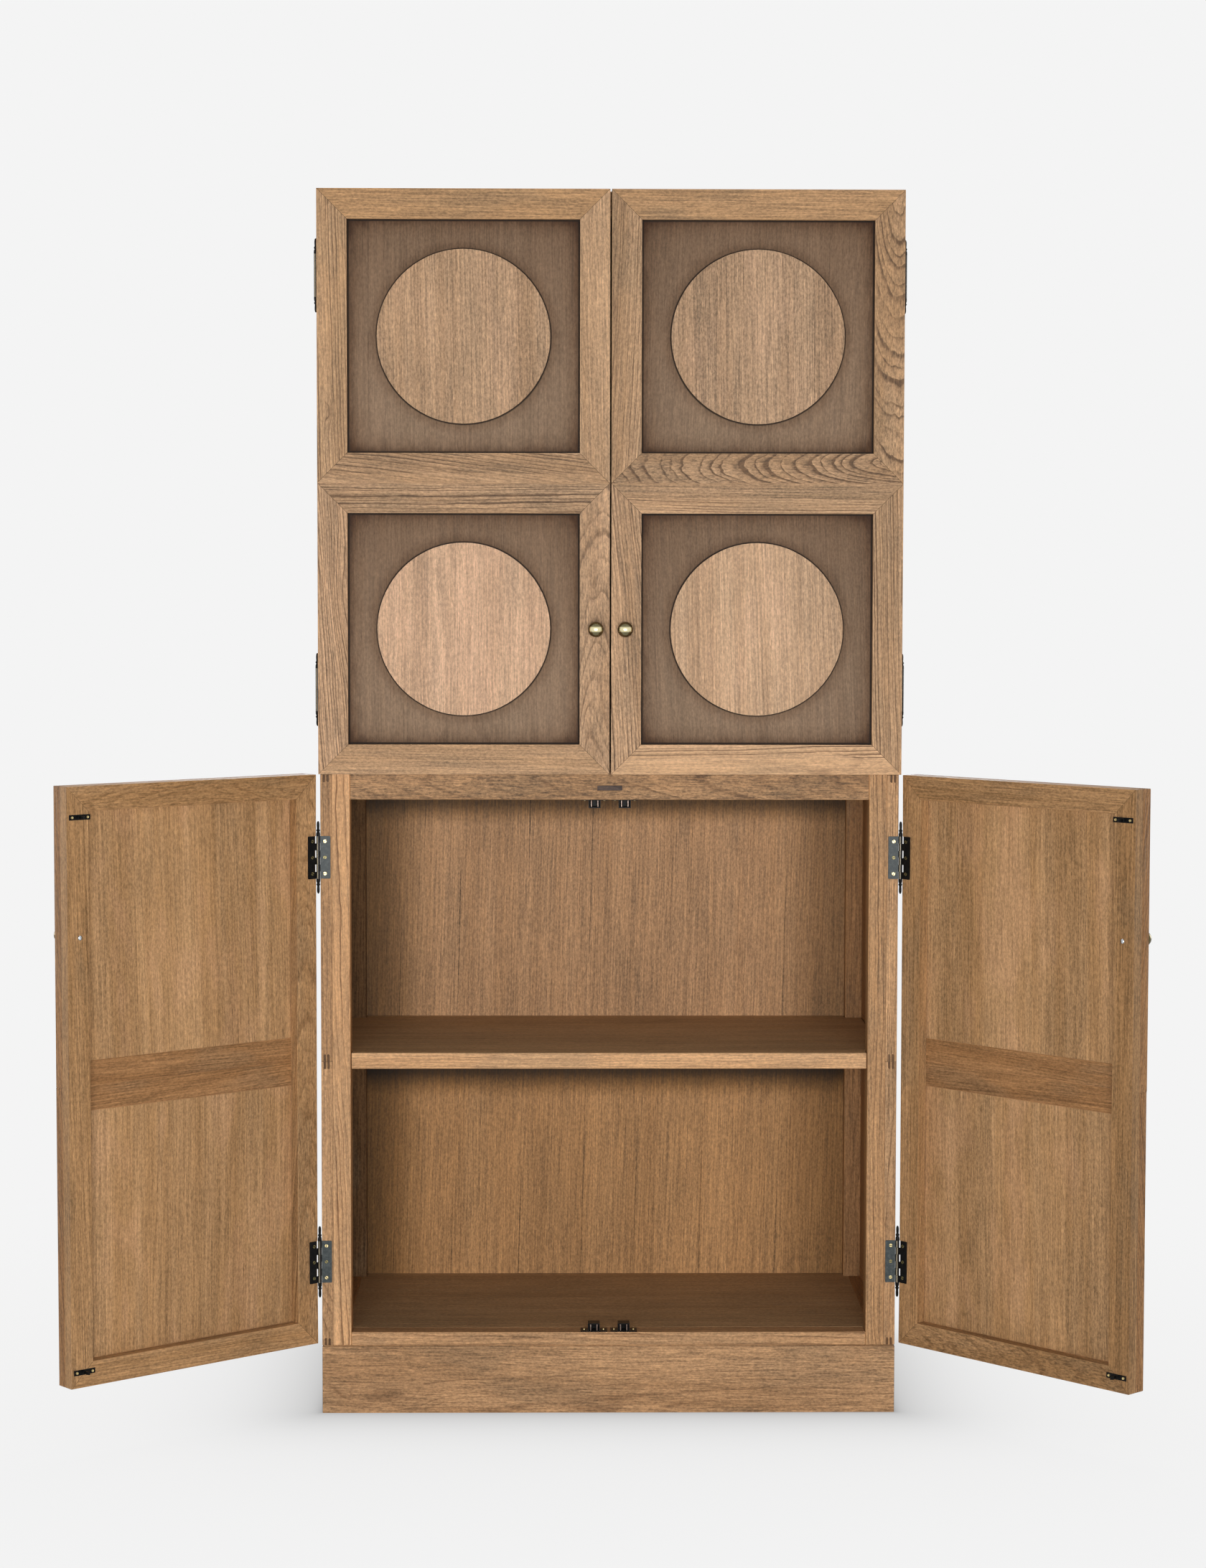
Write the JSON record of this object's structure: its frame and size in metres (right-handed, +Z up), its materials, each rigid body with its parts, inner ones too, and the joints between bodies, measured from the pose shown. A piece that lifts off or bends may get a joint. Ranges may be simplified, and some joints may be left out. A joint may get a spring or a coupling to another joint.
{
  "type": "cabinet",
  "caption": "Tall free-standing oak cabinet on a plinth, with paired upper and lower doors of mitred squares, round raised discs, ball knobs and shelves inside.",
  "frame": {"origin": "on the underside of the plinth's middle bearer, under the middle of the footprint", "axes": "+Z up, -Y towards the front, +X to the right as seen from the front"},
  "size_m": [1.8337, 0.8734, 2.151],
  "materials": {
    "natural_oak": "natural oak, matt lacquer, brushed grain",
    "stained_oak": "oak stained grey brown on the face, natural behind",
    "inlay_wood": "dark hardwood let in flush, matt",
    "aged_brass": "aged brass, polished ball",
    "brass_screws": "bright brass countersunk screws",
    "blackened_steel": "blackened steel, satin"
  },
  "bodies": {
    "carcass": {"back_left_leg": "natural_oak", "back_panels": "natural_oak", "back_right_leg": "natural_oak", "bottom_board": "natural_oak", "bottom_rail": "natural_oak", "carcass_hinge_leaves": "blackened_steel", "catches": "blackened_steel", "front_left_leg": "natural_oak", "front_right_leg": "natural_oak", "hinge_pins": "blackened_steel", "left_side_frames": "natural_oak", "left_side_panels": "natural_oak", "lower_shelf": "natural_oak", "middle_board": "natural_oak", "middle_rail": "natural_oak", "plinth_bearer": "natural_oak", "plinth_frame": "natural_oak", "plinth_front": "natural_oak", "rail_inlay": "inlay_wood", "right_side_frames": "natural_oak", "right_side_panels": "natural_oak", "shelf_bearers": "natural_oak", "side_inner_rails": "natural_oak", "top_board": "natural_oak", "top_rail": "natural_oak", "upper_shelf": "natural_oak"},
    "upper_left_door": {"upper_left_door_back_frame": "natural_oak", "upper_left_door_discs": "natural_oak", "upper_left_door_front_frames": "natural_oak", "upper_left_door_hinge_leaves": "blackened_steel", "upper_left_door_knob": "aged_brass", "upper_left_door_panels": "stained_oak", "upper_left_door_strikes": "blackened_steel"},
    "upper_right_door": {"upper_right_door_back_frame": "natural_oak", "upper_right_door_discs": "natural_oak", "upper_right_door_front_frames": "natural_oak", "upper_right_door_hinge_leaves": "blackened_steel", "upper_right_door_knob": "aged_brass", "upper_right_door_panels": "stained_oak", "upper_right_door_strikes": "blackened_steel"},
    "lower_left_door": {"lower_left_door_back_frame": "natural_oak", "lower_left_door_discs": "natural_oak", "lower_left_door_front_frames": "natural_oak", "lower_left_door_hinge_leaves": "blackened_steel", "lower_left_door_knob": "aged_brass", "lower_left_door_panels": "stained_oak", "lower_left_door_strikes": "blackened_steel"},
    "lower_right_door": {"lower_right_door_back_frame": "natural_oak", "lower_right_door_discs": "natural_oak", "lower_right_door_front_frames": "natural_oak", "lower_right_door_hinge_leaves": "blackened_steel", "lower_right_door_knob": "aged_brass", "lower_right_door_panels": "stained_oak", "lower_right_door_strikes": "blackened_steel"}
  },
  "joints": [
    {"name": "upper_left_door_hinge", "type": "hinge", "parent": "carcass", "child": "upper_left_door", "pos_m": [-0.5118, -0.2505, 1.6455], "axis": [0, 0, -1], "range_deg": [0, 180]},
    {"name": "upper_right_door_hinge", "type": "hinge", "parent": "carcass", "child": "upper_right_door", "pos_m": [0.5118, -0.2505, 1.6455], "axis": [0, 0, 1], "range_deg": [0, 180]},
    {"name": "lower_left_door_hinge", "type": "hinge", "parent": "carcass", "child": "lower_left_door", "pos_m": [-0.5118, -0.2505, 0.6315], "axis": [0, 0, -1], "range_deg": [-140, 40]},
    {"name": "lower_right_door_hinge", "type": "hinge", "parent": "carcass", "child": "lower_right_door", "pos_m": [0.5118, -0.2505, 0.6315], "axis": [0, 0, 1], "range_deg": [-133, 47]}
  ]
}
